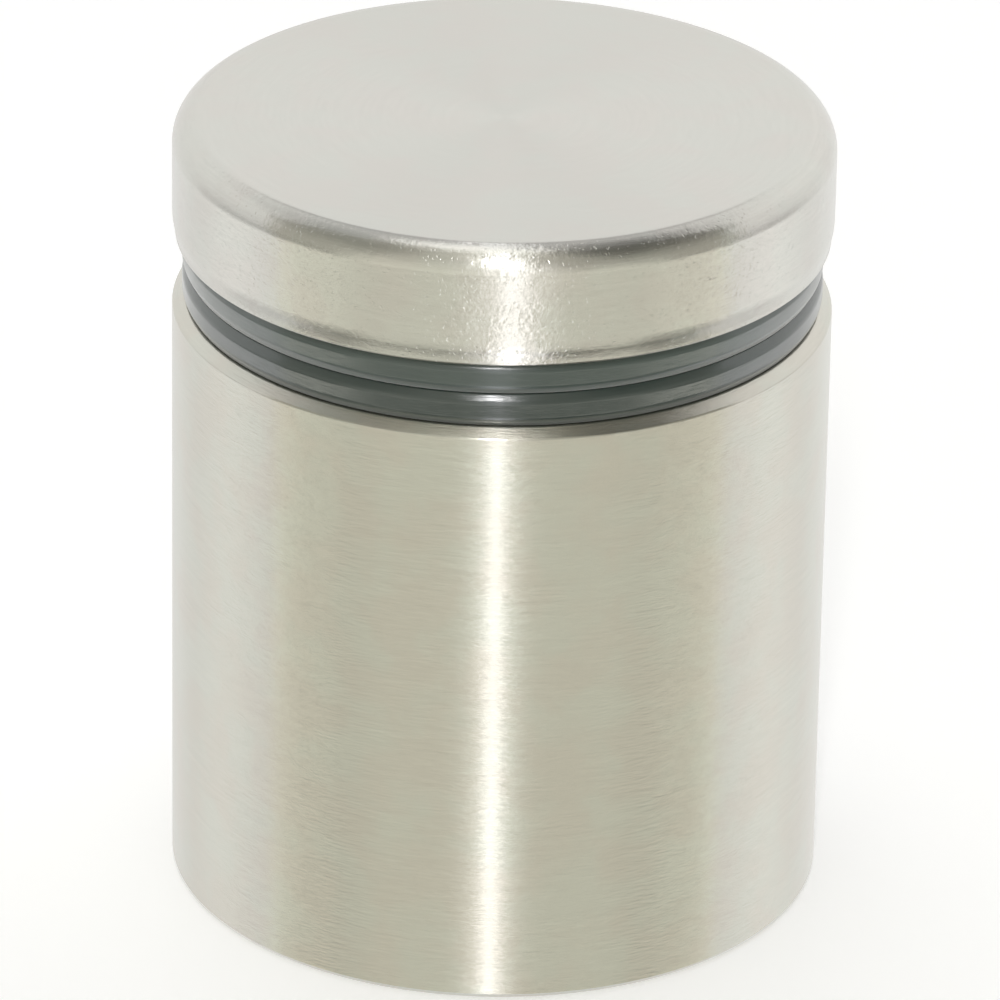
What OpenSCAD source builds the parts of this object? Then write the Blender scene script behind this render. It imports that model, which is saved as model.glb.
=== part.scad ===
// Point-fixed glass panel standoff: a turned steel spacer that stands against a wall, two rubber
// gaskets that grip the glass, and a round cap on a threaded stud that clamps them together.
//
// Frame: the origin is the centre of the spacer's wall face, +Z is the axis, out towards the cap.
// The stack is drawn closed, with no glass between the gaskets.

/* [Round outline] */
// Outside diameter of the spacer body and of the cap
outer_d = 50; // [40:1:60]

/* [Spacer body] */
// Length of the spacer body, from the wall face to the gasket seat
body_h = 47.4; // [45:0.1:80]
// Radius of the rounded rim round the gasket seat
body_rim_r = 0.8; // [0.4:0.1:1.4]
// Chamfer round the wall face
body_foot_chamfer = 0.5; // [0.2:0.1:1.2]
// Depth of the full thread for the wall stud, measured from the wall face
wall_thread_depth = 12; // [9:0.5:14]

/* [Gaskets] */
// Thickness of each gasket
gasket_t = 2.6; // [2:0.1:3.4]
// How far the gaskets stand back from the outside of the body
gasket_inset = 0.75; // [0.4:0.05:1.5]
// Radius of a gasket's rounded outer edges
gasket_edge_r = 0.6; // [0.3:0.05:0.9]

/* [Cap] */
// Thickness of the cap
cap_t = 9.2; // [8:0.1:14]
// Radius of the crown, where the flat top turns into the side
cap_crown_r = 2; // [1:0.1:3]
// Radius of the crisp lip round the cap's underside
cap_lip_r = 0.3; // [0.2:0.05:0.6]
// Height of the gentle roll-off that polishing leaves just above the lip
cap_roll_h = 1.3; // [0.8:0.1:2]
// Radius of that roll-off
cap_roll_r = 5; // [4:0.5:10]
// Metal left between the end of the stud and the flat top
cap_floor_t = 2.7; // [2:0.1:4]

/* [Stud and thread] */
// Nominal diameter of the thread, for the clamp stud and for the wall stud
thread_d = 10; // [8:1:12]
// Pitch of the thread
thread_pitch = 1.5; // [1:0.25:2]
// Overall length of the clamp stud
stud_len = 35; // [30:1:37]
// Width across the flats of the hexagon socket in the stud's free end
socket_af = 5; // [3:0.5:6]
// Depth of the hexagon socket
socket_depth = 5; // [3:0.5:8]

/* [Sleeve] */
// Length of the plastic sleeve that keeps the stud off the glass
sleeve_len = 8; // [7:0.5:10]
// Wall of the sleeve
sleeve_wall = 2.9; // [2:0.1:4]
// Chamfer on the sleeve's outer ends
sleeve_chamfer = 0.4; // [0.2:0.1:0.8]

/* [Clearances] */
// Radial play between the stud and each threaded hole
thread_play = 0.05; // [0.02:0.01:0.1]
// Radial play between the stud and the sleeve
stud_play = 0.1; // [0.05:0.05:0.3]
// Radial play between the sleeve and the gaskets
gasket_play = 0.2; // [0.1:0.05:0.5]
// Radial play between the sleeve and its counterbore in the body
counterbore_play = 0.3; // [0.1:0.05:0.6]
// Room between the end of the sleeve and the floor of its counterbore
sleeve_end_gap = 0.5; // [0.2:0.1:1]

/* [Hidden] */

$fn = 96;
arc_steps = 12;          // straight stretches in a rounded edge
drill_point = 118;       // included angle of a twist drill's point, in degrees
cut = 0.01;              // how far a cutter runs past the face it opens

outer_r = outer_d / 2;
gasket_r = outer_r - gasket_inset;
stud_r = thread_d / 2;
hole_r = stud_r + thread_play;
thread_chamfer = 0.6 * thread_pitch;

sleeve_bore_r = stud_r + stud_play;
sleeve_r = sleeve_bore_r + sleeve_wall;
gasket_hole_r = sleeve_r + gasket_play;
counterbore_r = sleeve_r + counterbore_play;

cap_z = body_h + 2 * gasket_t;                 // the cap's underside
cap_hole_depth = cap_t - cap_floor_t;
stud_top_z = cap_z + cap_hole_depth;           // the stud bottoms in the cap
stud_tip_z = stud_top_z - stud_len;
sleeve_z = cap_z - sleeve_len;                 // the sleeve hangs from the cap's underside
counterbore_z = sleeve_z - sleeve_end_gap;
clamp_hole_z = stud_tip_z - thread_pitch;      // one turn of spare thread below the tip

roll_angle = asin(cap_roll_h / cap_roll_r);
lip_x = outer_r - cap_roll_r * (1 - cos(roll_angle));
roll_top = cap_lip_r * (1 - sin(roll_angle)) + cap_roll_h;

steel = [0.78, 0.77, 0.72];
stud_steel = [0.62, 0.62, 0.60];
rubber = [0.33, 0.36, 0.33];
nylon = [0.90, 0.89, 0.85];

// Points of an arc round (x, z), from angle a0 to a1.
function arc(x, z, r, a0, a1) =
    [for (i = [0:arc_steps]) let (a = a0 + (a1 - a0) * i / arc_steps)
        [x + r * cos(a), z + r * sin(a)]];

// Turns a half section, given as [radius, height] points, about the axis.
module turned(section) {
    rotate_extrude() polygon(section);
}

// Cutter for a threaded hole that opens downwards at z = 0 and runs up by depth, with a
// chamfered mouth.
module threaded_bore(depth) {
    mouth_r = hole_r + thread_chamfer;
    translate([0, 0, -cut]) {
        cylinder(r = hole_r, h = depth + cut);
        cylinder(r1 = mouth_r + cut, r2 = hole_r, h = thread_chamfer + cut);
    }
}

// The same cutter with the cone that a twist drill leaves past the thread.
module drilled_bore(depth) {
    threaded_bore(depth);
    translate([0, 0, depth]) cylinder(r1 = hole_r, r2 = 0, h = hole_r / tan(drill_point / 2));
}

// Turned from one bar: a rounded rim round the gasket seat, a counterbore for the sleeve, and a
// drilled and tapped hole from each end with a solid web between them.
module spacer_body() {
    color(steel) difference() {
        turned(concat(
            [[0, 0], [outer_r - body_foot_chamfer, 0], [outer_r, body_foot_chamfer]],
            arc(outer_r - body_rim_r, body_h - body_rim_r, body_rim_r, 0, 90),
            [[0, body_h]]
        ));
        drilled_bore(wall_thread_depth);
        translate([0, 0, counterbore_z]) {
            cylinder(r = counterbore_r, h = body_h - counterbore_z + cut);
            mirror([0, 0, 1]) drilled_bore(counterbore_z - clamp_hole_z);
        }
    }
}

// A flat rubber ring with rounded outer edges, so that two in contact leave a V-shaped groove.
module gasket(z) {
    color(rubber) translate([0, 0, z]) turned(concat(
        [[gasket_hole_r, 0]],
        arc(gasket_r - gasket_edge_r, gasket_edge_r, gasket_edge_r, -90, 0),
        arc(gasket_r - gasket_edge_r, gasket_t - gasket_edge_r, gasket_edge_r, 0, 90),
        [[gasket_hole_r, gasket_t]]
    ));
}

module body_gasket() {
    gasket(body_h);
}

module cap_gasket() {
    gasket(body_h + gasket_t);
}

// A plain tube with chamfered ends, from the cap's underside through both gaskets.
module stud_sleeve() {
    color(nylon) translate([0, 0, sleeve_z]) turned([
        [sleeve_bore_r, 0],
        [sleeve_r - sleeve_chamfer, 0],
        [sleeve_r, sleeve_chamfer],
        [sleeve_r, sleeve_len - sleeve_chamfer],
        [sleeve_r - sleeve_chamfer, sleeve_len],
        [sleeve_bore_r, sleeve_len]
    ]);
}

// A turned disc: crisp lip, gentle roll-off, straight side, rounded crown and flat top, with a
// flat-bottomed threaded hole for the stud.
module clamp_cap() {
    color(steel) translate([0, 0, cap_z]) difference() {
        turned(concat(
            [[0, 0]],
            arc(lip_x - cap_lip_r * cos(roll_angle), cap_lip_r, cap_lip_r, -90, -roll_angle),
            arc(outer_r - cap_roll_r, roll_top, cap_roll_r, -roll_angle, 0),
            arc(outer_r - cap_crown_r, cap_t - cap_crown_r, cap_crown_r, 0, 90),
            [[0, cap_t]]
        ));
        threaded_bore(cap_hole_depth);
    }
}

// A headless screw with chamfered ends, bottomed in the cap, with a hexagon socket in its free end.
module cap_stud() {
    end_r = stud_r - thread_chamfer;
    color(stud_steel) translate([0, 0, stud_tip_z]) difference() {
        turned([
            [0, 0],
            [end_r, 0],
            [stud_r, thread_chamfer],
            [stud_r, stud_len - thread_chamfer],
            [end_r, stud_len],
            [0, stud_len]
        ]);
        translate([0, 0, -cut])
            cylinder(d = socket_af / cos(30), h = socket_depth + cut, $fn = 6);
    }
}

spacer_body();
body_gasket();
cap_gasket();
stud_sleeve();
clamp_cap();
cap_stud();
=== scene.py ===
# %% [markdown]
# # A glass panel standoff
#
# A point-fixed glass panel hangs on a few of these. A turned steel spacer keeps the glass off the
# wall, two rubber gaskets hold it without scratching it, and a round cap on a threaded stud
# squeezes the stack together. This lesson dresses the measured model of one, closed and with no
# glass in it, standing on the face that goes against the wall.
#
# The measured model is loaded first and never changed. Its solids could be given good materials
# as they are, but their edges are cut in few steps, and polished metal shows its shape by the
# light that runs along its edges. So each solid gets a finer piece that stands for it, and that
# takes its size and place from it.

# %% Load the measured model
import math

import bmesh
import bpy
from mathutils import Matrix, Vector


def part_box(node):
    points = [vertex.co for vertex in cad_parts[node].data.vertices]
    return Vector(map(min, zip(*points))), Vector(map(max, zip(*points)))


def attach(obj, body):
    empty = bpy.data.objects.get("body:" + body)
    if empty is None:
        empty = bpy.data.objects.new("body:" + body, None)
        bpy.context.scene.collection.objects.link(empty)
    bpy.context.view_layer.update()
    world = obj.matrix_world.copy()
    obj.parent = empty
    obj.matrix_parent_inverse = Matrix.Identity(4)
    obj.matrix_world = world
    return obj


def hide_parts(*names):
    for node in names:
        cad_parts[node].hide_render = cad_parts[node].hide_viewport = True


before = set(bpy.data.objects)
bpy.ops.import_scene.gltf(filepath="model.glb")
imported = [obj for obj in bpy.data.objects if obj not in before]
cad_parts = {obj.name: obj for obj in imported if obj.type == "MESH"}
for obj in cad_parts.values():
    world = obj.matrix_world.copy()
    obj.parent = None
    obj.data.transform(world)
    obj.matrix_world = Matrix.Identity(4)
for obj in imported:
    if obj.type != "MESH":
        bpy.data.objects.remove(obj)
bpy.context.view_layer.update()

MM = 0.001
HAIR = 1e-6                    # two places nearer than this, in metres, are the same place
print("nodes:", ", ".join(sorted(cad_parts)))

# %% [markdown]
# ## Sizes
#
# Every solid here is round, so a box about it gives its height and its outside radius, and that
# is nearly all that its outline needs. The numbers could be typed in again instead, but then a
# change to the model would leave the pieces behind. What a box can't show, such as a rounded
# edge or the depth of a hole, is named just before the piece that needs it.

# %% Read the sizes off the solids
def span(node):
    """The bottom, the top and the outside radius of a solid turned about Z."""
    low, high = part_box(node)
    return low.z, high.z, high.x


body_foot, body_top, outer_r = span("spacer_body")
lower_gasket_foot, lower_gasket_top, gasket_r = span("body_gasket")
upper_gasket_foot, upper_gasket_top, _ = span("cap_gasket")
sleeve_foot, sleeve_top, sleeve_r = span("stud_sleeve")
cap_foot, cap_top, _ = span("clamp_cap")
stud_foot, stud_top, stud_r = span("cap_stud")
print(f"{2 * outer_r / MM:.1f} mm across, {cap_top / MM:.1f} mm tall, "
      f"{body_top / MM:.1f} mm of body, {(cap_foot - body_top) / MM:.1f} mm of gaskets")

# %% [markdown]
# ## The camera
#
# The part is seen from a little above its shoulder. A wide lens close by would make its sides
# run together, so this one is long and stands well away, which keeps them nearly parallel. The
# view leans by about a degree. The camera comes early, because everything after it is judged
# through it.

# %% Set up the camera
view_height = 25.66            # degrees above the horizon
view_distance = 0.689
view_lean = 0.97               # degrees by which the top leans to the right
aim = Vector((0.0001, 0, 0.0299))

camera_data = bpy.data.cameras.new("camera")
camera_data.sensor_width = 36
camera_data.lens = 323.8
camera_data.clip_start = 0.05
camera = bpy.data.objects.new("camera", camera_data)
bpy.context.scene.collection.objects.link(camera)

rise = math.radians(view_height)
camera.matrix_world = (
    Matrix.Translation(aim + view_distance * Vector((0, -math.cos(rise), math.sin(rise))))
    @ Matrix.Rotation(math.pi / 2 - rise, 4, "X")
    @ Matrix.Rotation(math.radians(view_lean), 4, "Z")
)
bpy.context.scene.camera = camera
print(f"camera {view_distance:.3f} m away, {camera_data.lens:.0f} mm lens")

# %% [markdown]
# ## Turning a piece
#
# Nearly every piece here came off a lathe, or out of a round mould. A cylinder could be added and
# its rings pushed about, but Blender has the lathe itself: the spin. Half of the section is drawn
# as a chain of corners, and turned about the axis. The rounded edges come after, with a bevel on
# the ring of edges that a corner left behind, as a machinist breaks an edge after turning.

# %% Spin a section
TURN_STEPS = 192               # divides by 6 and by 4, so the ring fits its box exactly


def turned(corners, closed=False):
    """A bmesh turned about Z from the [radius, height] corners of half a section."""
    bm = bmesh.new()
    ring = [bm.verts.new((radius, 0, height)) for radius, height in corners]
    pairs = list(zip(ring, ring[1:])) + ([(ring[-1], ring[0])] if closed else [])
    edges = [bm.edges.new(pair) for pair in pairs]
    bmesh.ops.spin(bm, geom=ring + edges, axis=(0, 0, 1), cent=(0, 0, 0),
                   angle=2 * math.pi, steps=TURN_STEPS, use_merge=True)
    bmesh.ops.remove_doubles(bm, verts=bm.verts, dist=1e-7)
    bmesh.ops.recalc_face_normals(bm, faces=bm.faces)
    return bm


print(f"a turned piece goes round in {TURN_STEPS} steps")


# %% Round an edge
def radius_of(vert):
    """How far a corner lies from the axis."""
    return math.hypot(vert.co.x, vert.co.y)


def bevel_ring(bm, radius, height, size, segments):
    """Rounds the ring of edges that a corner of the section left at that radius and height."""
    def on_ring(vert):
        return abs(radius_of(vert) - radius) < HAIR and abs(vert.co.z - height) < HAIR
    edges = [e for e in bm.edges if all(on_ring(v) for v in e.verts)]
    bmesh.ops.bevel(bm, geom=edges, offset=size, offset_type="OFFSET", segments=segments,
                    profile=0.5, affect="EDGES", material=-1, clamp_overlap=True)
    print(f"  {len(edges)} edges rounded at radius {radius / MM:.2f}, height {height / MM:.2f}")


# %% [markdown]
# ## From a mesh to a piece
#
# Light on polished metal shows every fault in the shading. Smooth shading alone would bend the
# light on a flat face near its rounded edge, and more faces would only narrow that fault. The
# Weighted Normal modifier cures it: large faces count for more, so a wide flat stays flat right
# up to its edge. It is applied at once, so the piece keeps no modifier.
#
# Each piece also says which moving body it rides on, and which solids of the measured model it
# stands for, which are then hidden. Its finish is given later.

# %% Finish a piece
def make_piece(name, bm, body, nodes=(), crease=30):
    """Turns a finished bmesh into a piece. Edges sharper than crease degrees stay sharp."""
    for face in bm.faces:
        face.smooth = True
    for edge in bm.edges:
        edge.smooth = edge.calc_face_angle(0) < math.radians(crease)
    open_edges = sum(not edge.is_manifold for edge in bm.edges)
    mesh = bpy.data.meshes.new(name)
    bm.to_mesh(mesh)
    bm.free()
    piece = bpy.data.objects.new(name, mesh)
    bpy.context.scene.collection.objects.link(piece)
    piece.modifiers.new("weighted normals", "WEIGHTED_NORMAL").keep_sharp = True
    weighted = bpy.data.meshes.new_from_object(
        piece.evaluated_get(bpy.context.evaluated_depsgraph_get()))
    piece.modifiers.clear()
    piece.data = weighted
    bpy.data.meshes.remove(mesh)
    weighted.name = name
    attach(piece, body)
    if nodes:
        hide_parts(*nodes)
    print(f"{name}: {len(weighted.polygons)} faces, {open_edges} open edges, rides on {body}")
    return piece


print("pieces ride on spacer, clamp_stack or cap")

# %% [markdown]
# ## The spacer body
#
# The body is one bar of stainless steel. A threaded hole in its foot takes the wall's stud, and
# a deeper one in its top takes the cap's, under a wide counterbore for the sleeve. The holes
# could be cut out of a plain cylinder with a Boolean, but that leaves long thin faces round each
# mouth. Drawn as part of the section, they come out of the same spin, with the cone that a drill
# leaves at the bottom of each.
#
# The rim under the gasket is a narrow chamfer with softened corners. Its ring of light and dark is
# what tells the eye that this is metal: it mirrors the ceiling and the rubber above it at once.

# %% Turn the spacer body
pitch = 1.5 * MM
thread_gap = 0.05 * MM         # between the stud and the wall of its hole
hole_r = stud_r + thread_gap
thread_chamfer = 0.6 * pitch
drill_point = 118              # degrees across the tip of a drill
drill_rise = hole_r / math.tan(math.radians(drill_point / 2))
wall_hole_depth = 12 * MM
clamp_hole_floor = stud_foot - pitch
sleeve_side_gap = 0.3 * MM     # between the sleeve and the wall of its counterbore
sleeve_end_gap = 0.5 * MM      # and between its end and the floor
counterbore_r = sleeve_r + sleeve_side_gap
counterbore_floor = sleeve_foot - sleeve_end_gap
body_rim_in = 0.92 * MM        # how far in the rim's chamfer goes
body_rim_h = 0.61 * MM         # and how far down
body_rim_outer = 0.12 * MM     # how much its outer corner is softened
body_rim_inner = 0.08 * MM     # and its inner one
body_foot_chamfer = 0.5 * MM

bm = turned([
    (0, wall_hole_depth + drill_rise),
    (hole_r, wall_hole_depth),
    (hole_r, thread_chamfer),
    (hole_r + thread_chamfer, 0),
    (outer_r - body_foot_chamfer, 0),
    (outer_r, body_foot_chamfer),
    (outer_r, body_top - body_rim_h),
    (outer_r - body_rim_in, body_top),
    (counterbore_r, body_top),
    (counterbore_r, counterbore_floor),
    (hole_r + thread_chamfer, counterbore_floor),
    (hole_r, counterbore_floor - thread_chamfer),
    (hole_r, clamp_hole_floor),
    (0, clamp_hole_floor - drill_rise),
])
bevel_ring(bm, outer_r, body_top - body_rim_h, body_rim_outer, 4)
bevel_ring(bm, outer_r - body_rim_in, body_top, body_rim_inner, 3)
spacer = make_piece("spacer", bm, "spacer", ["spacer_body"])

# %% [markdown]
# ## The cap
#
# The cap is what the hand turns. Its top edge is a broad crown, and just above the gasket its side
# rolls inwards to a short upright lip, which shows as a soft shade under the bright side. The
# crown could be a row of rings placed by sums, but a bevel on one corner gives the same quarter
# circle and keeps the outline readable. A small bevel then takes the corner off the start of the
# roll, so the light slides over it and doesn't snap.

# %% Turn the cap
cap_crown_r = 2.0 * MM
cap_roll_in = 0.20 * MM        # how far the side draws in just above the lip
cap_roll_angle = 12            # degrees that it has turned by then
cap_lip_h = 0.5 * MM           # the upright lip under the roll
cap_lip_edge = 0.25 * MM
roll_h = cap_roll_in / math.tan(math.radians(cap_roll_angle))
roll_start = 0.45 * roll_h     # size of the bevel where the roll begins
lip_top = cap_foot + cap_lip_h

bm = turned([
    (0, cap_top),
    (outer_r, cap_top),
    (outer_r, lip_top + roll_h),
    (outer_r - cap_roll_in, lip_top),
    (outer_r - cap_roll_in, cap_foot),
    (hole_r + thread_chamfer, cap_foot),
    (hole_r, cap_foot + thread_chamfer),
    (hole_r, stud_top),
    (0, stud_top),
])
bevel_ring(bm, outer_r, cap_top, cap_crown_r, 20)
bevel_ring(bm, outer_r, lip_top + roll_h, roll_start, 8)
bevel_ring(bm, outer_r - cap_roll_in, cap_foot, cap_lip_edge, 5)
cap = make_piece("cap", bm, "cap", ["clamp_cap"], crease=12)

# %% [markdown]
# ## The gaskets
#
# Two thin rubber rings, one stuck to the body and one under the cap, take the glass between
# them. Their outer edges are moulded as steep chamfers, so the pair leaves a sharp groove where
# they meet, and the chamfer that faces upwards catches the window. A round bevel was the other
# way, but it spreads that glint into a dull band. One step of bevel makes the chamfer, its inner
# corners are then moved out to steepen it, and small bevels soften what is left, as rubber never
# has a knife edge.

# %% Mould the gaskets
gasket_hole_r = sleeve_r + 0.2 * MM
gasket_edge = 0.65 * MM        # height of the chamfer
gasket_edge_draw = 0.65        # how far in it is drawn, as a share of its height
gasket_end_soft = 0.14 * MM    # how much its corner on the flat face is softened
gasket_side_soft = 0.20 * MM   # and its corner on the side


def set_radius(vert, radius):
    """Moves a corner in or out to a radius."""
    scale = radius / radius_of(vert)
    vert.co.x *= scale
    vert.co.y *= scale


def gasket(name, foot, top, body, node):
    """A rubber ring whose outer edges are steep chamfers with softened corners."""
    bm = turned([(gasket_hole_r, foot), (gasket_r, foot), (gasket_r, top),
                 (gasket_hole_r, top)], closed=True)
    chamfer_r = gasket_r - gasket_edge_draw * gasket_edge
    for height in (foot, top):
        bevel_ring(bm, gasket_r, height, gasket_edge, 1)
    for vert in bm.verts:
        if abs(radius_of(vert) - (gasket_r - gasket_edge)) < HAIR:
            set_radius(vert, chamfer_r)
    for height, inward in ((foot, 1), (top, -1)):
        bevel_ring(bm, chamfer_r, height, gasket_end_soft, 4)
        bevel_ring(bm, gasket_r, height + inward * gasket_edge, gasket_side_soft, 4)
    return make_piece(name, bm, body, [node])


lower_gasket = gasket("lower_gasket", lower_gasket_foot, lower_gasket_top, "spacer",
                      "body_gasket")
upper_gasket = gasket("upper_gasket", upper_gasket_foot, upper_gasket_top, "clamp_stack",
                      "cap_gasket")

# %% [markdown]
# ## The sleeve
#
# A plastic sleeve round the stud keeps the steel from touching the glass where it passes through
# it. It hides while the stack is closed, and shows when the cap is unscrewed. It is a plain tube,
# so a closed section of four corners is enough, with the edges broken so that it slides into the
# counterbore.

# %% Turn the sleeve
sleeve_bore_r = stud_r + 0.1 * MM
sleeve_chamfer = 0.4 * MM

bm = turned([(sleeve_bore_r, sleeve_foot), (sleeve_r, sleeve_foot), (sleeve_r, sleeve_top),
             (sleeve_bore_r, sleeve_top)], closed=True)
for height in (sleeve_foot, sleeve_top):
    bevel_ring(bm, sleeve_r, height, sleeve_chamfer, 1)
    bevel_ring(bm, sleeve_bore_r, height, 0.5 * sleeve_chamfer, 1)
sleeve = make_piece("sleeve", bm, "clamp_stack", ["stud_sleeve"], crease=25)

# %% [markdown]
# ## Climbing a screw
#
# A screw thread is a profile that climbs as it goes round. It is often faked with a bump or with
# stacked rings, but rings don't climb, and here the cap really unscrews. The spin has a second
# half for this: besides its angle it takes a small lift for each step. One turn is spun and then
# copied upwards. A profile exactly one pitch tall meets its own last turn, so the merged turns
# close into one skin.

# %% Spin a profile up a screw
THREAD_STEPS = 96              # steps in one turn


def climb(bm, corners, turns):
    """Spins a chain of corners one turn up a right-hand screw, then copies the turn upwards."""
    chain = [bm.verts.new((radius, 0, height)) for radius, height in corners]
    edges = [bm.edges.new(pair) for pair in zip(chain, chain[1:])]
    bmesh.ops.spin(bm, geom=chain + edges, axis=(0, 0, 1), cent=(0, 0, 0),
                   dvec=(0, 0, pitch / THREAD_STEPS), angle=2 * math.pi, steps=THREAD_STEPS)
    one_turn = bm.verts[:] + bm.edges[:] + bm.faces[:]
    for lap in range(1, turns):
        copied = bmesh.ops.duplicate(bm, geom=one_turn)["geom"]
        bmesh.ops.translate(bm, verts=[g for g in copied if isinstance(g, bmesh.types.BMVert)],
                            vec=(0, 0, lap * pitch))
    bmesh.ops.remove_doubles(bm, verts=bm.verts, dist=1e-7)


print(f"a thread of {pitch / MM:.1f} mm pitch climbs {pitch / THREAD_STEPS / MM:.4f} mm a step")

# %% [markdown]
# ## The stud's thread
#
# The stud is screwed into the cap for good and turns with it. One pitch of a metric thread is a
# flat root, a flank at thirty degrees, a narrow flat crest and a flank down again. The flanks are
# cut in three, because the tapers below move their corners, and a flank of one face would show
# it.
#
# A few turns too many are spun, and two planes cut them off square at the ends. Then every corner
# is held inside a cone at each end, which gives the stud the lead that finds the hole.

# %% Draw one pitch and spin the stud
thread_play = 0.03 * MM        # how far the crests stay inside the stud's nominal radius
thread_depth = 0.92 * MM
crest_flat = pitch / 8
flank_slope = math.tan(math.radians(30))         # rise of a flank for each mm inwards
flank_rise = thread_depth * flank_slope
root_flat = pitch - crest_flat - 2 * flank_rise
crest_r = stud_r - thread_play
root_r = crest_r - thread_depth
FLANK_PARTS = 3

first_foot = stud_foot - 2 * pitch
crest_foot = first_foot + root_flat + flank_rise
one_pitch = [(root_r, first_foot)]
for part in range(FLANK_PARTS + 1):
    share = part / FLANK_PARTS
    one_pitch.append((root_r + thread_depth * share, first_foot + root_flat + flank_rise * share))
for part in range(FLANK_PARTS + 1):
    share = part / FLANK_PARTS
    one_pitch.append((crest_r - thread_depth * share,
                      crest_foot + crest_flat + flank_rise * share))

stud_turns = math.ceil((stud_top - stud_foot) / pitch) + 3
bm = bmesh.new()
climb(bm, one_pitch, stud_turns)
print(f"stud: {stud_turns} turns, {2 * crest_r / MM:.2f} mm over the crests, "
      f"{2 * root_r / MM:.2f} mm in the roots")

# %% Cut the ends square and taper them
stud_end_r = stud_r - thread_chamfer
for height, away in ((stud_foot, -1), (stud_top, 1)):
    bmesh.ops.bisect_plane(bm, geom=bm.verts[:] + bm.edges[:] + bm.faces[:], dist=1e-7,
                           plane_co=(0, 0, height), plane_no=(0, 0, away), clear_outer=True)
for vert in bm.verts:
    in_from_end = min(vert.co.z - stud_foot, stud_top - vert.co.z)
    set_radius(vert, min(radius_of(vert), stud_end_r + max(in_from_end, 0)))


def open_rim(bm, height):
    """The open edges that lie at a height."""
    return [e for e in bm.edges
            if e.is_boundary and all(abs(v.co.z - height) < HAIR for v in e.verts)]


bmesh.ops.holes_fill(bm, edges=open_rim(bm, stud_top), sides=0)
print(f"the ends are {2 * stud_end_r / MM:.1f} mm across")

# %% [markdown]
# ## The stud's socket
#
# The free end has a hexagon socket, so that a key can set the stud in the cap. A Boolean with a
# hexagonal prism would do it, but the open end is there already: a hexagon of the socket's size is
# bridged to the end's edge, and its edges are pushed inwards and closed. The hexagon's sides are
# first cut in sixteen, one for each step of the thread, so the bridge's faces stay even.

# %% Push in the socket
socket_flats = 5 * MM          # across its flats
socket_depth = 5 * MM

lower_end = open_rim(bm, stud_foot)
mouth = bmesh.ops.create_circle(bm, segments=6, radius=socket_flats / math.sqrt(3),
                                matrix=Matrix.Translation((0, 0, stud_foot)))["verts"]
sides = list({edge for corner in mouth for edge in corner.link_edges})
bmesh.ops.subdivide_edges(bm, edges=sides, cuts=THREAD_STEPS // 6 - 1)
sides = [edge for edge in bm.edges if edge.is_wire]
bmesh.ops.bridge_loops(bm, edges=lower_end + sides)
pushed = bmesh.ops.extrude_edge_only(bm, edges=sides)["geom"]
bmesh.ops.translate(bm, verts=[g for g in pushed if isinstance(g, bmesh.types.BMVert)],
                    vec=(0, 0, socket_depth))
bmesh.ops.holes_fill(bm, edges=open_rim(bm, stud_foot + socket_depth), sides=0)
bmesh.ops.recalc_face_normals(bm, faces=bm.faces)
stud = make_piece("stud", bm, "cap", ["cap_stud"], crease=28)

# %% [markdown]
# ## The tapped holes
#
# The body's two holes are threaded as well. Cutting a screw-shaped groove out of the body's wall
# would tear its neat rings of faces, and a Boolean on two finely stepped skins is slow and often
# fails. So the thread left standing in a hole is a separate ridge, spun up the same screw and let
# a hair into the hole's wall. It runs half a pitch out of step with the stud's crests, so that the
# two mesh. It fades out at the countersunk mouth and where the tap stopped.

# %% Tap the holes
ridge_crest_r = 4.25 * MM
ridge_crest_flat = 0.4 * MM
ridge_sink = 0.01 * MM         # how far a ridge's base is let into the wall of its hole
base_r = hole_r + ridge_sink
ridge_flank = (base_r - ridge_crest_r) * flank_slope
stud_crest = root_flat + flank_rise + crest_flat / 2     # above a turn's own foot


def tapped(name, body, mouth, inward, floor):
    """The ridge of thread in a hole, from its chamfered mouth, inward, to where the tap stopped."""
    low, high = sorted((mouth, floor))
    step = round((low - stud_foot) / pitch)
    foot = (stud_foot + step * pitch + stud_crest - pitch / 2
            - ridge_flank - ridge_crest_flat / 2)
    while foot < low:
        foot += pitch
    turns = math.floor((high - foot) / pitch) - 1
    crest_top = ridge_flank + ridge_crest_flat
    bm = bmesh.new()
    climb(bm, [(base_r, foot), (ridge_crest_r, foot + ridge_flank),
               (ridge_crest_r, foot + crest_top), (base_r, foot + crest_top + ridge_flank),
               (base_r, foot)], turns)
    bmesh.ops.holes_fill(bm, edges=[e for e in bm.edges if e.is_boundary], sides=0)
    for vert in bm.verts:
        if radius_of(vert) < hole_r:
            countersink = hole_r + thread_chamfer - (vert.co.z - mouth) * inward
            lead = hole_r - 0.5 * (floor - vert.co.z) * inward
            set_radius(vert, min(max(radius_of(vert), countersink, lead),
                                 base_r - 0.2 * ridge_sink))
        else:
            set_radius(vert, base_r)
    bmesh.ops.recalc_face_normals(bm, faces=bm.faces)
    return make_piece(name, bm, body, crease=28)


wall_thread = tapped("wall_thread", "spacer", 0, 1, wall_hole_depth - 0.5 * pitch)
clamp_thread = tapped("clamp_thread", "spacer", counterbore_floor, -1, stud_foot - 0.5 * pitch)

# %% [markdown]
# ## Shader maths as plain Python
#
# A finish is a formula: where the brush lines run, and how rough each one is. In the editor it is
# a web of Math nodes, which is hard to read back. Wrapping a node's output in a small class lets
# the formula be written as one, and Python's operators add the nodes.

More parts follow.
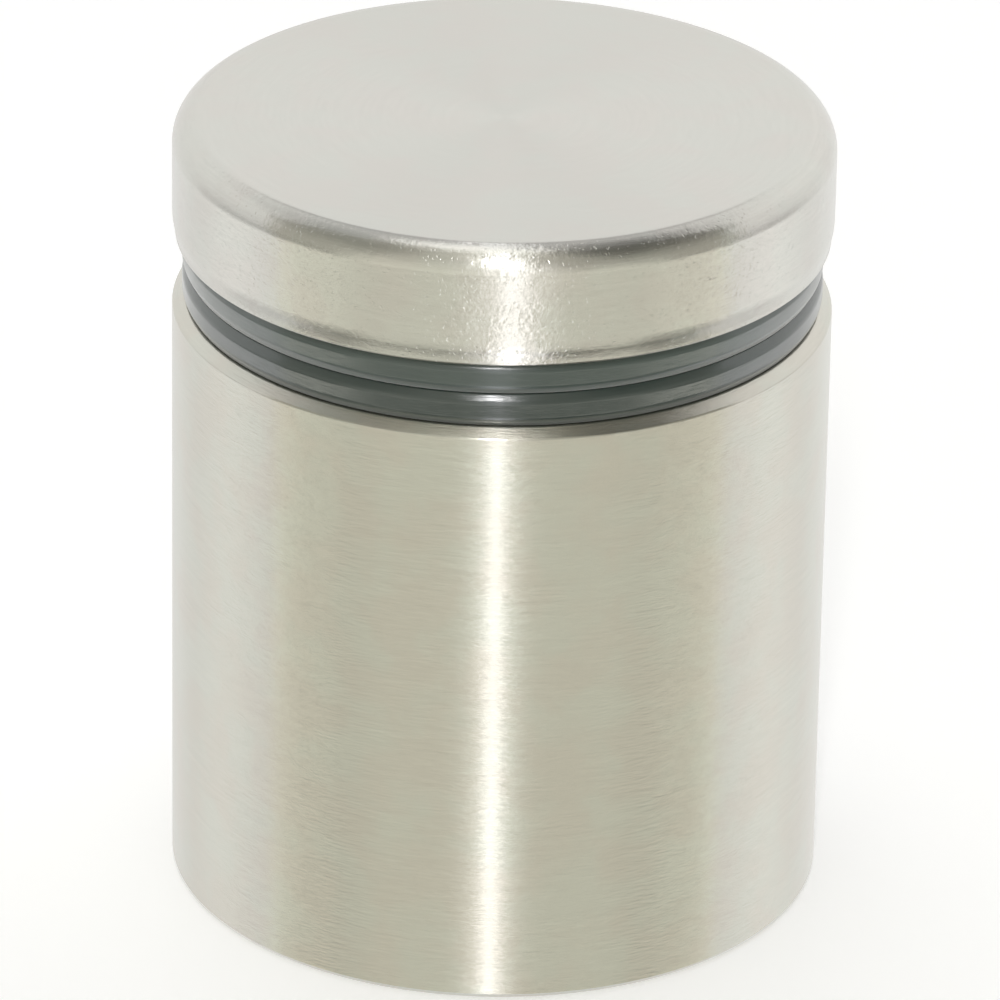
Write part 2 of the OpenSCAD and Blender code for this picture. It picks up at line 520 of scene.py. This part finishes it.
# %% A value in a shader
class Value:
    """One output of a shader node. Arithmetic on it adds Math nodes."""

    def __init__(self, graph, socket):
        self.graph, self.socket = graph, socket

    def __add__(self, other):
        return self.graph.maths("ADD", self, other)

    def __radd__(self, other):
        return self.graph.maths("ADD", other, self)

    def __sub__(self, other):
        return self.graph.maths("SUBTRACT", self, other)

    def __rsub__(self, other):
        return self.graph.maths("SUBTRACT", other, self)

    def __mul__(self, other):
        return self.graph.maths("MULTIPLY", self, other)

    def __rmul__(self, other):
        return self.graph.maths("MULTIPLY", other, self)

    def __truediv__(self, other):
        return self.graph.maths("DIVIDE", self, other)

    def __rtruediv__(self, other):
        return self.graph.maths("DIVIDE", other, self)


print("a shader's value can be added, subtracted, multiplied and divided")

# %% [markdown]
# ## One way to add a node
#
# Every other node has the same three things: a type, some settings, and sockets that hold a value
# or a link. So one method adds them all. Its settings come first, because they decide which
# sockets a node has. The short methods after it name the few nodes that the finishes use often.

# %% A tree of nodes
class Graph:
    """A node tree to which nodes are added by type."""

    def __init__(self, tree):
        self.tree = tree
        tree.nodes.clear()

    def add(self, kind, settings=None, sockets=None, out=0):
        """Adds a node, makes its settings, fills or links its sockets.

        Returns the output that out names, or a list of outputs where out is a list.
        """
        node = self.tree.nodes.new(kind)
        for key, value in (settings or {}).items():
            if key == "stops":
                self.set_stops(node.color_ramp, value)
            else:
                setattr(node, key, value)
        for key, value in (sockets or {}).items():
            if isinstance(value, Value):
                self.tree.links.new(value.socket, node.inputs[key])
            else:
                node.inputs[key].default_value = value
        if isinstance(out, list):
            return [Value(self, node.outputs[each]) for each in out]
        return Value(self, node.outputs[out]) if node.outputs else None

    def set_stops(self, ramp, stops):
        """Gives a colour ramp its stops, as (position, colour)."""
        while len(ramp.elements) < len(stops):
            ramp.elements.new(1)
        for element, (position, colour) in zip(ramp.elements, stops):
            element.position = position
            element.color = (*colour, 1)

    def maths(self, operation, *operands):
        """A Math node on values or numbers."""
        return self.add("ShaderNodeMath", {"operation": operation}, dict(enumerate(operands)))

    def smooth(self, value, low, high):
        """0 at low, 1 at high, and a soft step between them."""
        return self.add("ShaderNodeMapRange", {"interpolation_type": "SMOOTHSTEP"},
                        {"Value": value, "From Min": low, "From Max": high})

    def blend(self, factor, first, second):
        """A colour between two colours."""
        return self.add("ShaderNodeMix", {"data_type": "RGBA"},
                        {0: factor, 6: first, 7: second}, out=2)

    def scaled(self, colour, scale):
        """A colour made brighter or darker."""
        return self.add("ShaderNodeVectorMath", {"operation": "SCALE"},
                        {0: colour, "Scale": scale})

    def split(self, vector):
        """The x, y and z of a vector."""
        return self.add("ShaderNodeSeparateXYZ", None, {0: vector}, out=["X", "Y", "Z"])

    def noise(self, place, detail=2, roughness=0.5, scale=1):
        """Soft noise about 0.5 at a place."""
        return self.add("ShaderNodeTexNoise", None, {
            "Vector": place, "Scale": scale, "Detail": detail, "Roughness": roughness})

    def ray(self, kind):
        """1 for the rays of a kind, such as Is Camera Ray."""
        return self.add("ShaderNodeLightPath", out=kind)


print("node kinds go through Graph.add")


# %% Start and finish a material
def material(name):
    """A material and the graph of its nodes."""
    made = bpy.data.materials.new(name)
    made.use_nodes = True
    return made, Graph(made.node_tree)


def finish_material(graph, surface):
    """Sends a shader to the material's output."""
    graph.add("ShaderNodeOutputMaterial", None, {"Surface": surface})
    print(f"a material of {len(graph.tree.nodes)} nodes")


BUMP_DEPTH = 0.01 * MM         # the depth for which a bump's height of 1 stands


# %% [markdown]
# ## Brush lines
#
# The steel was finished against an abrasive belt while it turned, so fine lines run round the
# axis, on the side and on the flat top alike. An image of brushed metal would need its own
# unwrapping and would repeat. Noise that is squeezed in one direction makes lines without either.
#
# Across the lines, height changes on the side and radius on the top. Height minus radius changes
# on both, and keeps changing over the crown between them, so one formula covers the whole turned
# surface without a seam. Along the lines the noise is read slowly, which stretches it.

# %% Lines round the axis
def brush_lines(graph, x, y, z):
    """Four streaky noises: fine lines, broad ones, short dashes and torn metal."""
    across = z - graph.maths("SQRT", x * x + y * y)

    def lines(around, over, detail=3):
        """Streaks of so many per mm round the axis and so many per mm across."""
        at = graph.add("ShaderNodeCombineXYZ", None, {
            "X": x * (around / MM), "Y": y * (around / MM), "Z": across * (over / MM)})
        return graph.noise(at, detail=detail, roughness=0.6)

    return lines(0.15, 5), lines(0.06, 1.6), lines(0.5, 3), lines(0.7, 5, detail=2)


# %% [markdown]
# ## Brushed steel
#
# Brush lines do three things to the light. Each is a little lighter or darker, a little rougher or
# smoother, and a tiny ridge. Together, too fine to see singly, they smear a highlight across
# themselves. Bump can show the first few of those sizes. The smear belongs to the shader's
# Anisotropic value, which a plain rough metal lacks, and without which a brushed cylinder looks
# painted. A quarter turn of its rotation lays the smear across the lines.
#
# The colour drifts between two warm greys in patches a few millimetres wide.

# %% Steel that was brushed as it turned
def brushed_steel(name, roughness, lined, ragged, warm, cool, wear=None):
    """Stainless steel with lines round its axis. wear may change its tone, gloss and relief."""
    made, graph = material(name)
    place = graph.add("ShaderNodeTexCoord", out="Object")
    x, y, z = graph.split(place)
    fine, broad, dashes, torn = brush_lines(graph, x, y, z)
    cloud = graph.smooth(graph.noise(place, scale=0.22 / MM, detail=3), 0.35, 0.65)
    tone = (1 + 0.06 * (fine - 0.5) + 0.05 * (broad - 0.5) + 0.10 * (dashes - 0.5)
            + 0.03 * (cloud - 0.5))
    rough = roughness + 0.04 * (broad - 0.5) + 0.06 * (dashes - 0.5)
    relief = 0.2 * fine + 0.3 * broad + ragged * torn
    facing = graph.add("ShaderNodeNewGeometry", out="Normal")
    if wear:
        tone, rough, relief, facing = wear(graph, place, (x, y, z), tone, rough, relief, facing)
    colour = graph.scaled(graph.blend(cloud, (*warm, 1), (*cool, 1)), tone)
    bump = graph.add("ShaderNodeBump", None, {
        "Strength": 1.0, "Distance": BUMP_DEPTH, "Height": relief, "Normal": facing})
    finish_material(graph, graph.add("ShaderNodeBsdfPrincipled", None, {
        "Base Color": colour, "Metallic": 1.0, "Roughness": rough, "Normal": bump,
        "Anisotropic": lined, "Anisotropic Rotation": 0.25}))
    return made


body_steel = brushed_steel("body_brushed_steel", roughness=0.25, lined=0.85, ragged=2.0,
                           warm=(0.660, 0.634, 0.562), cool=(0.638, 0.636, 0.566))

# %% [markdown]
# ## The cap's steel
#
# The cap is the part that fingers and keys touch. Its side has lost its straight lines to a
# leathery swell with finer grain in patches and a scatter of tiny pits, while the flat top was
# polished again and is smoother. It could have a material of its own, but it is the same bar of
# steel with a history, so the history is a function that adds to the brushed finish.
#
# The cap was also ground a little out of true: on its front, the highlight stands some two degrees
# to one side of the body's, and is wider, as on a side that is slightly flat. Leaning the shading
# normal round the axis there moves the light without moving the metal, and leaning it a little
# more with each mm to the right widens it.

# %% Steel that has been handled
face_edge_r = 23.3 * MM        # where the polished flat meets the crown
lean_round = 1.66              # degrees by which the shading leans round the axis in the middle
flatness = 0.69                # degrees more for each mm to the right


def cap_wear(graph, place, at, tone, rough, relief, facing):
    """The cap's polished face, and the swell, grain and pits of its side."""
    x, y, z = at
    radius = graph.maths("SQRT", x * x + y * y)
    polished = (graph.smooth(radius, face_edge_r + 0.25 * MM, face_edge_r)
                * graph.smooth(z, cap_top - 0.3 * MM, cap_top - 0.1 * MM))
    swell = graph.noise(place, scale=1.4 / MM, detail=2)
    patch = graph.smooth(graph.noise(place, scale=0.5 / MM, detail=2), 0.38, 0.62)
    grain = graph.noise(place, scale=2.8 / MM, detail=1)
    pits = graph.smooth(graph.noise(place, scale=4 / MM, detail=0), 0.70, 0.80)
    relief = (relief * (1 - 0.6 * polished) + 0.9 * swell
              + (1 - polished) * ((0.2 + patch) * grain - 0.8 * pits))
    leaning = (graph.smooth(z, cap_top - 0.3 * MM, cap_top - 1.6 * MM)
               * graph.smooth(graph.maths("ABSOLUTE", x), 11 * MM, 3 * MM))
    lean = (lean_round + flatness / MM * x) * leaning
    facing = graph.add("ShaderNodeVectorRotate", {"rotation_type": "Z_AXIS"},
                       {"Vector": facing, "Angle": math.radians(-1) * lean})
    return 1 + (tone - 1) * (1 - 0.5 * polished), rough - 0.095 * polished, relief, facing


cap_steel = brushed_steel("cap_brushed_steel", roughness=0.245, lined=0.82, ragged=0.8,
                          warm=(0.672, 0.652, 0.602), cool=(0.655, 0.652, 0.600), wear=cap_wear)

# %% [markdown]
# ## Rubber
#
# The gaskets are moulded black rubber. Rubber is never quite black: a thin bloom on its skin
# scatters a grey-green haze, which the Sheen values give, and its gloss changes from patch to
# patch. A darker, plainer material would be quicker, but then the two rings read as a gap. The
# streaks run round the rings, as the mould's halves left them, so the noise is squeezed in height
# by a Mapping node.
#
# The two rings are the same rubber, and one function makes both. The lower ring's copy has less
# sheen and a little more gloss, and its colour is darkened, which is painted shade.

# %% Moulded rubber
def rubber(name, bloom_and_shade, polish):
    """Dark rubber with so much sheen, its colour darkened by the same share as painted shade, with
    a gloss that is uneven and faint streaks round its side.
    """
    made, graph = material(name)
    place = graph.add("ShaderNodeTexCoord", out="Object")
    patch = graph.noise(place, scale=0.5 / MM, detail=3)
    pores = graph.noise(place, scale=9 / MM, detail=2)
    squeezed = graph.add("ShaderNodeMapping", None, {
        "Vector": place, "Scale": (0.5 / MM, 0.5 / MM, 9 / MM)})
    streaks = graph.noise(squeezed, detail=2)
    # the colour is scaled by the same share as the sheen; below 1 that darkening is painted shade
    colour = graph.scaled(graph.blend(patch, (0.016, 0.038, 0.029, 1), (0.023, 0.050, 0.039, 1)),
                          bloom_and_shade)
    bump = graph.add("ShaderNodeBump", None, {
        "Strength": 0.4, "Distance": BUMP_DEPTH, "Height": pores + 4 * patch + 2.5 * streaks})
    finish_material(graph, graph.add("ShaderNodeBsdfPrincipled", None, {
        "Base Color": colour, "Roughness": polish + 0.12 * patch + 0.10 * streaks,
        "Normal": bump, "IOR": 1.9, "Sheen Weight": bloom_and_shade, "Sheen Roughness": 0.5}))
    return made


upper_rubber = rubber("upper_rubber", bloom_and_shade=1.0, polish=0.10)
# a darker copy of the same rubber for the lower ring: painted shade, with less sheen and more gloss
lower_rubber_shaded = rubber("lower_rubber_shaded", bloom_and_shade=0.7, polish=0.05)

# %% [markdown]
# ## Nylon
#
# The sleeve is turned nylon, off-white and slightly dull. It could have subsurface scattering, as
# nylon is a little milky, but the sleeve sits in shade between two gaskets, where that would only
# cost time. A slow drift of colour and gloss is enough to keep it from looking like paint, and
# faint rings are left by the cutter.

# %% Turned nylon
def nylon():
    """Off-white nylon with a slow drift of tone and the cutter's faint rings."""
    made, graph = material("sleeve_nylon")
    place = graph.add("ShaderNodeTexCoord", out="Object")
    x, y, z = graph.split(place)
    patch = graph.noise(place, scale=0.4 / MM, detail=3)
    rings = brush_lines(graph, x, y, z)[0]
    colour = graph.blend(patch, (0.70, 0.68, 0.61, 1), (0.76, 0.745, 0.68, 1))
    bump = graph.add("ShaderNodeBump", None, {
        "Strength": 0.5, "Distance": BUMP_DEPTH, "Height": rings})
    finish_material(graph, graph.add("ShaderNodeBsdfPrincipled", None, {
        "Base Color": colour, "Roughness": 0.42 + 0.1 * patch, "Normal": bump}))
    return made


sleeve_nylon = nylon()

# %% [markdown]
# ## Machined steel
#
# The stud and the tapped threads are cut, not brushed. Their light breaks up on the thread's own
# flanks, so the brushed finish's smear would be lost there. What shows is a bright, slightly
# patchy metal with the small marks of the cutter, so this material is made of two noises.

# %% Steel fresh from the cutter
def machined_steel():
    """Bright machined steel with the marks of the cutter."""
    made, graph = material("stud_machined_steel")
    place = graph.add("ShaderNodeTexCoord", out="Object")
    patch = graph.noise(place, scale=0.8 / MM, detail=3)
    marks = graph.noise(place, scale=6 / MM, detail=2)
    colour = graph.blend(patch, (0.56, 0.55, 0.52, 1), (0.63, 0.62, 0.59, 1))
    bump = graph.add("ShaderNodeBump", None, {
        "Strength": 0.3, "Distance": BUMP_DEPTH, "Height": marks})
    finish_material(graph, graph.add("ShaderNodeBsdfPrincipled", None, {
        "Base Color": colour, "Metallic": 1.0, "Roughness": 0.26 + 0.14 * patch,
        "Normal": bump}))
    return made


stud_steel = machined_steel()

# %% [markdown]
# ## Putting the finishes on
#
# A mesh keeps a list of materials, and each face says which one it uses. Every piece here is of
# one material, so its list gets one entry and no face needs to be told anything.

# %% Give each piece its finish
for piece, finish in ((spacer, body_steel), (cap, cap_steel), (lower_gasket, lower_rubber_shaded),
                      (upper_gasket, upper_rubber), (sleeve, sleeve_nylon), (stud, stud_steel),
                      (wall_thread, stud_steel), (clamp_thread, stud_steel)):
    piece.data.materials.clear()
    piece.data.materials.append(finish)
    print(f"{piece.name} is finished in {finish.name}")

# %% [markdown]
# ## The room
#
# Polished metal has hardly any look of its own: it shows the room. In a studio that room is white
# card, dark flags and a window. A ready-made environment picture would bring somebody's room with
# it, and cards as objects would each have to be placed and hidden. Here the world does it as a
# formula of direction, which can be shaped degree by degree.
#
# Three numbers describe a direction: how much it points to the camera's side, how much it points
# to the right, and how high it points. A ramp over the height then gives the light of one side of
# the room, from straight down to straight up.

# %% Directions in the room
world = bpy.data.worlds.new("studio")
bpy.context.scene.world = world
world.use_nodes = True
graph = Graph(world.node_tree)
toward = graph.add("ShaderNodeTexCoord", out="Generated")
to_x, to_y, to_z = graph.split(toward)
level = graph.maths("SQRT", to_x * to_x + to_y * to_y) + 1e-4
ahead = 0 - to_y / level                         # 1 on the camera's side, -1 behind the part
aside = to_x / level                             # 1 to the right, -1 to the left
height = graph.maths("ARCSINE", to_z) / math.pi + 0.5        # 0 below, 0.5 level, 1 above
right = graph.smooth(to_x, -0.25, 0.35)


def grade(stops, tint=(1, 1, 1)):
    """Light by height. The stops are (degrees above level, strength), of one tint."""
    return graph.add("ShaderNodeValToRGB", {"stops": [
        (degrees / 180 + 0.5, tuple(light * t for t in tint)) for degrees, light in stops]},
        {"Fac": height})


def over(low, high):
    """0 at the first height in degrees, 1 at the second."""
    return graph.smooth(height, 0.5 + low / 180, 0.5 + high / 180)


print(f"directions take {len(graph.tree.nodes)} nodes")

# %% [markdown]
# ## Behind the part
#
# The crown of the cap and the flanks of the cylinder mirror what stands behind the part: a bright
# wall. Near the horizon at the sides the wall ends and the table's far edge begins, which gives
# the flanks their thin bright and dark lines. A small shaded patch straight behind keeps the crown
# from turning white all along.

# %% Light the wall behind
table_edge = [(-90, 0.9), (-48, 0.88), (-38, 0.7), (-31, 0.5), (-28.5, 1.6), (-21.5, 1.6),
              (-19, 0.4), (-12, 0.45), (-3, 0.85)]
wall = [(-90, 0.97), (12, 0.97)]
high_left = [(35, 1.0), (48, 0.8), (62, 0.5), (75, 0.7), (90, 0.8)]
high_right = [(42, 1.0), (54, 0.8), (64, 0.25), (75, 0.27), (90, 0.7)]

to_back = graph.smooth(ahead, -0.20, -0.75)      # 0 beside the part, 1 behind it
back_left = graph.blend(to_back, grade(table_edge + high_left),
                        grade(wall + [(20, 0.99)] + high_left))
back_right = graph.blend(to_back, grade(table_edge + high_right),
                         grade(wall + [(20, 1.02)] + high_right))
shade = 0.42                   # share of the light that the patch straight behind lacks
shaded = graph.smooth(ahead, -0.965, -0.99) * over(31, 35) * (1 - over(46, 54))
behind = graph.scaled(graph.blend(right, back_left, back_right),
                      (1 - shade * shaded) * (0.96 + 0.04 * right))
print(f"the wall's light is {wall[0][1]}, its shaded patch {(1 - shade) * wall[0][1]:.2f}")

# %% [markdown]
# ## Before the part
#
# The upright side mirrors what lies before the part and below the horizon: the table top, brighter
# in its middle than at its sides. Since an upright wall sends each height of view to one height of
# the room, the table's bands are what the side shows from edge to edge. It is lit by daylight
# through a curtain, so its light is slightly yellow.

# %% Light the table and the curtain
linen = (1, 0.99, 0.88)
table_band = [(-28.5, 1.8), (-21.5, 1.8), (-19.5, 0.16), (-12, 0.28), (0, 0.54)]
centre_left = grade([(-60, 0.20), (-44, 0.34), (-38, 1.0), (-29.5, 1.0), (-28, 0.48),
                     (-22, 0.48), (-20.5, 1.0), (-12, 0.95), (0, 0.80), (34, 0.62),
                     (66, 0.62), (80, 0.8)], linen)
centre_right = grade([(-60, 0.05), (-44, 0.10), (-38, 1.12), (-29.5, 1.12), (-28, 0.42),
                      (-22, 0.42), (-20.5, 1.1), (-12, 0.98), (0, 0.56), (34, 0.48),
                      (66, 0.62), (80, 0.8)], linen)
left_side = grade([(-60, 0.20), (-46, 0.24), (-38, 0.24), (-30.5, 0.16)] + table_band
                  + [(20, 0.5), (34, 0.40), (50, 0.31), (64, 0.34), (80, 0.7)], linen)
right_side = grade([(-60, 0.05), (-46, 0.10), (-38, 0.26), (-30.5, 0.20)] + table_band
                   + [(14, 0.44), (34, 0.30), (46, 0.14), (71, 0.12), (86, 0.30)], linen)

centre = graph.blend(graph.smooth(to_x, -0.05, 0.20), centre_left, centre_right)
sides = graph.blend(right, left_side, right_side)
narrowing = (0.17 + 0.04 * right) * over(0, 30)  # the bright middle is narrower higher up
to_side = graph.smooth(ahead - narrowing, 0.76, 0.44)        # 0 before the part, 1 beside it
before = graph.blend(to_side, centre, sides)
front = graph.smooth(ahead + 0.27 * over(22, 42), 0.03, 0.15)
room = graph.blend(front, behind, before)
print(f"the table's band is lit at {table_band[0][1]}, its dark flank at {table_band[2][1]}")

# %% [markdown]
# ## The gap in the curtain
#
# One bright upright line runs down the middle of the part: daylight through a gap in the curtain.
# A very narrow lamp could stand there, but it would need thousands of samples to come out clean. As
# a soft-edged slit in the world it is cheap, and it can have the wide faint glow that cloth gives
# such a gap. A shorter seam of light straight behind the part shows on the crown.

# %% Open the curtain by a slit
slit_left = 0.015              # how far to the left of the camera the slit stands
slit_light = (5, 5, 5.3, 1)
off = graph.maths("ABSOLUTE", aside + slit_left)
band = over(-29.5, -28) * (1 - over(-22, -20.5))
glow = 0.07 * graph.smooth(off, 0.27, 0.0)
core = 0.38 * graph.smooth(off, 0.062, 0.005)
slit = ((glow + core) * front * (1 - 0.7 * band)
        * (1 + 0.3 * over(0, 10) + 1.2 * over(58, 72) + 2.2 * (1 - over(-46, -40))))
seam = (0.5 * graph.smooth(off, 0.03, 0.004) * over(36, 48) * (1 - over(48, 54))
        + 0.3 * graph.smooth(off, 0.10, 0.02) * over(52, 58) * (1 - over(66, 72))) * (1 - front)
room = graph.blend(slit + seam, room, slit_light)
print(f"the slit stands {math.degrees(math.asin(slit_left)):.1f} degrees to the left")

# %% [markdown]
# ## White for the camera
#
# The metal should show the room, but the picture's background should be plain white. Light Path
# tells which kind of ray is asking, so the camera gets white and everything else gets the room. A
# white wall as an object would do the same, but it would also light the part.

# %% Hand the room to the world
seen = graph.maths("MAXIMUM", graph.ray("Is Camera Ray"), graph.ray("Is Transmission Ray"))
shown = graph.blend(seen, room, (1, 1, 1, 1))
graph.add("ShaderNodeOutputWorld", None, {
    "Surface": graph.add("ShaderNodeBackground", None, {"Color": shown, "Strength": 1.0})})
print(f"the room takes {len(graph.tree.nodes)} nodes")

# %% [markdown]
# ## The lamps
#
# The world lights everything softly from all around, so on its own it would leave rubber flat. Two
# softboxes add what it can't: a narrow key on the camera's side, which gives the gaskets' chamfers
# their glint, and a large oval one overhead, which draws a bright line along the cap's crown. From
# above, the flat top mirrors the whole of that lamp, so it is kept weak enough not to turn the
# steel white.

# %% Hang two softboxes
lamp_distance = 1.5
lamp_aim = Vector((0, 0, 0.035))                 # a point just above the middle of the part


def softbox(name, azimuth, elevation, width, tall, power, shape="RECTANGLE"):
    """A lamp that faces the part. Azimuth 0 is the camera's side, + is right."""
    az, el = math.radians(azimuth), math.radians(elevation)
    away = Vector((math.sin(az) * math.cos(el), -math.cos(az) * math.cos(el), math.sin(el)))
    data = bpy.data.lights.new(name, "AREA")
    data.shape = shape
    data.size, data.size_y = width, tall
    data.energy = power
    lamp = bpy.data.objects.new(name, data)
    lamp.matrix_world = (Matrix.Translation(lamp_aim + lamp_distance * away)
                         @ away.to_track_quat("Z", "Y").to_matrix().to_4x4())
    lamp.visible_camera = False
    bpy.context.scene.collection.objects.link(lamp)
    print(f"{name}: {width} by {tall} m, {power} W")


softbox("key_softbox", -3.0, 40, 0.05, 0.3, 2.6)
softbox("overhead_softbox", 204, 81.5, 0.50, 0.95, 1.05, "ELLIPSE")

# %% [markdown]
# ## The floor
#
# The part stands on a plain pale table. A plane is enough for it. It has to do two things at once:
# take the part's shadow, and look white to the camera. So it is matt and nearly white, with a
# little of its own light that only the camera sees. Mirror rays pass through it to the room, whose
# lower half is the table as the metal sees it.
#
# The plane lies a hair under the foot. Two faces at exactly the same height would fight for the
# same place.

# %% Lay the floor
below_foot = 0.01 * MM
bm = bmesh.new()
bmesh.ops.create_grid(bm, x_segments=1, y_segments=1, size=3,
                      matrix=Matrix.Translation((0, 0, -below_foot)))
mesh = bpy.data.meshes.new("floor")
bm.to_mesh(mesh)
bm.free()
floor = bpy.data.objects.new("floor", mesh)
bpy.context.scene.collection.objects.link(floor)
print(f"a floor {floor.dimensions.x:.0f} m wide, {below_foot / MM} mm under the foot")

# %% Paint the floor
floor_paint, graph = material("floor_white")
matt = graph.add("ShaderNodeBsdfDiffuse", None, {"Color": (0.9, 0.9, 0.9, 1)})
own_light = graph.add("ShaderNodeEmission", None, {
    "Color": (1, 1, 1, 1), "Strength": 0.35 * graph.ray("Is Camera Ray")})
paint = graph.add("ShaderNodeAddShader", None, {0: matt, 1: own_light})
clear = graph.add("ShaderNodeBsdfTransparent", None, {"Color": (1, 1, 1, 1)})
finish_material(graph, graph.add("ShaderNodeMixShader", None, {
    0: graph.ray("Is Glossy Ray"), 1: paint, 2: clear}))
floor.data.materials.append(floor_paint)

# %% [markdown]
# ## The look of the view
#
# Blender can bend a picture's tones as film does, which flatters a landscape. A part for a library
# should show a colour as it is written, so the plain Standard view is set and nothing else.

# %% Set the view
bpy.context.scene.view_settings.view_transform = "Standard"
print("view:", bpy.context.scene.view_settings.view_transform)
